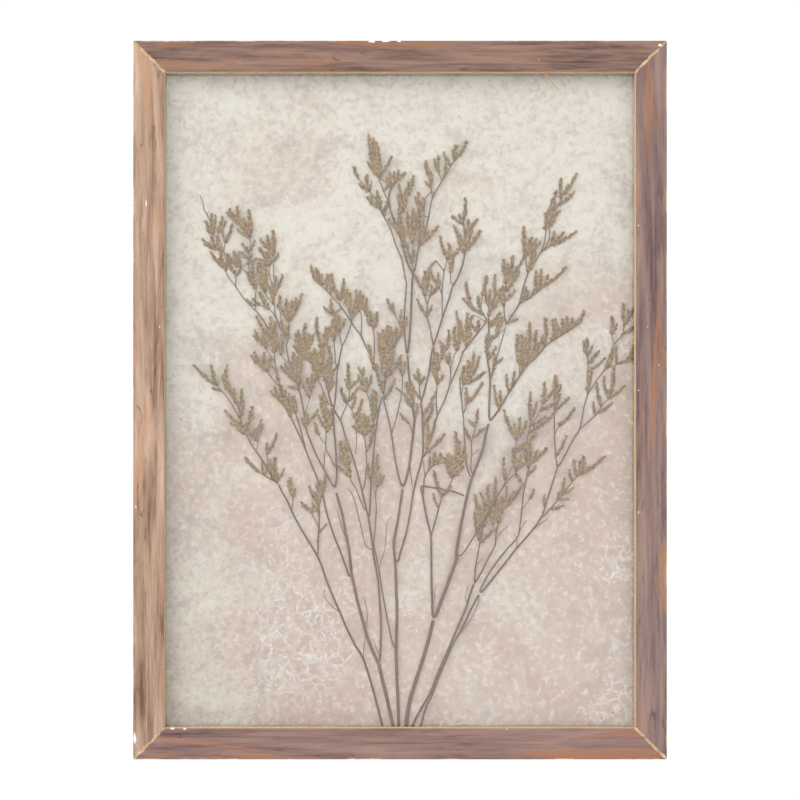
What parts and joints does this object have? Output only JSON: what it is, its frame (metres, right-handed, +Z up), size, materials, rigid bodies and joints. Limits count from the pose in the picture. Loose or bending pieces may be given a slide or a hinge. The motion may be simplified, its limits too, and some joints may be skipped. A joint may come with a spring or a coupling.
{
  "type": "pressed flower frame",
  "caption": "Upright wood-look wall frame holding pressed, dried caspia sprays behind clear glass on a mottled cream card, with a sawtooth hanger behind",
  "frame": {"origin": "the middle of the whole frame's bounding box", "axes": "+X to the right as seen from the front, +Z up, the glass faces -Y and the hanger is on the +Y side"},
  "size_m": [0.3, 0.0208, 0.404],
  "materials": {
    "rail": "printed rustic wood foil over a fibreboard rail, worn at the edges",
    "glass": "clear float glass",
    "backing_card": "matt mottled cream and pink card",
    "back_board": "raw hardboard",
    "spacer": "pale board strip",
    "dried_plant": "dry, matt, olive and straw brown",
    "steel": "thin zinc-plated steel"
  },
  "bodies": {
    "root": {"back_board": "back_board", "backing_card": "backing_card", "glass": "glass", "hanger": "steel", "nail_left": "steel", "nail_right": "steel", "rail_bottom": "rail", "rail_left": "rail", "rail_right": "rail", "rail_top": "rail", "spacer_bottom": "spacer", "spacer_left": "spacer", "spacer_right": "spacer", "spacer_top": "spacer", "spray_a_inner": "dried_plant", "spray_a_mid": "dried_plant", "spray_a_stem": "dried_plant", "spray_a_top": "dried_plant", "spray_b_crown": "dried_plant", "spray_b_far": "dried_plant", "spray_b_far_left": "dried_plant", "spray_b_far_mid": "dried_plant", "spray_b_knee": "dried_plant", "spray_b_mid": "dried_plant", "spray_b_outer": "dried_plant", "spray_b_right": "dried_plant", "spray_b_right_fork": "dried_plant", "spray_b_stem": "dried_plant", "spray_b_tall": "dried_plant", "spray_b_up": "dried_plant", "spray_c_arch": "dried_plant", "spray_c_high": "dried_plant", "spray_c_left": "dried_plant", "spray_c_right": "dried_plant", "spray_c_side": "dried_plant", "spray_c_stem": "dried_plant", "spray_c_tall": "dried_plant", "spray_c_thin": "dried_plant", "spray_d_left": "dried_plant", "spray_d_rise": "dried_plant", "spray_d_stem": "dried_plant", "spray_e_branch": "dried_plant", "spray_e_cross": "dried_plant", "spray_e_left": "dried_plant", "spray_e_right": "dried_plant", "spray_e_stem": "dried_plant", "spray_e_upper": "dried_plant", "spray_f_left": "dried_plant", "spray_f_right": "dried_plant", "spray_f_stem": "dried_plant", "spray_g_left": "dried_plant", "spray_g_mid": "dried_plant", "spray_g_right": "dried_plant", "spray_g_stem": "dried_plant", "spray_g_tall": "dried_plant", "tab_left_lower": "steel", "tab_left_upper": "steel", "tab_right_lower": "steel", "tab_right_upper": "steel"}
  },
  "joints": []
}
